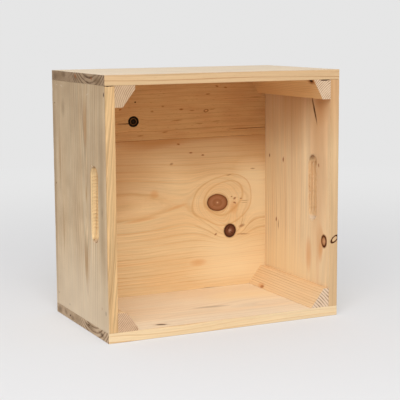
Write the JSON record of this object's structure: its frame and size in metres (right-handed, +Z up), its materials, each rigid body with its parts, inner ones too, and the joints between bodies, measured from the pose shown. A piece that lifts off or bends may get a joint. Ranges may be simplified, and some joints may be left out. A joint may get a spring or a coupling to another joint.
{
  "type": "beehive box",
  "caption": "Square pine hive box with one open side, a board back let into it, chamfered corner battens inside and a hand slot in each side wall.",
  "frame": {"origin": "centre of the underside, as the box stands in use here with its open side to the front", "axes": "+X to the right seen from the open side, +Y from the open side towards the back boards, +Z up"},
  "size_m": [0.46, 0.268, 0.46],
  "materials": {
    "wall_pine": "planed, bare",
    "back_pine": "planed, bare",
    "batten_pine": "sawn, bare",
    "nail_steel": "dulled"
  },
  "bodies": {
    "root": {"top_wall": "wall_pine", "bottom_wall": "wall_pine", "left_wall": "wall_pine", "right_wall": "wall_pine", "back_board_lower": "back_pine", "back_board_upper": "back_pine", "corner_batten_top_left": "batten_pine", "corner_batten_top_right": "batten_pine", "corner_batten_bottom_left": "batten_pine", "corner_batten_bottom_right": "batten_pine", "wall_nails": "nail_steel", "back_nails": "nail_steel", "batten_nails": "nail_steel"}
  },
  "joints": []
}
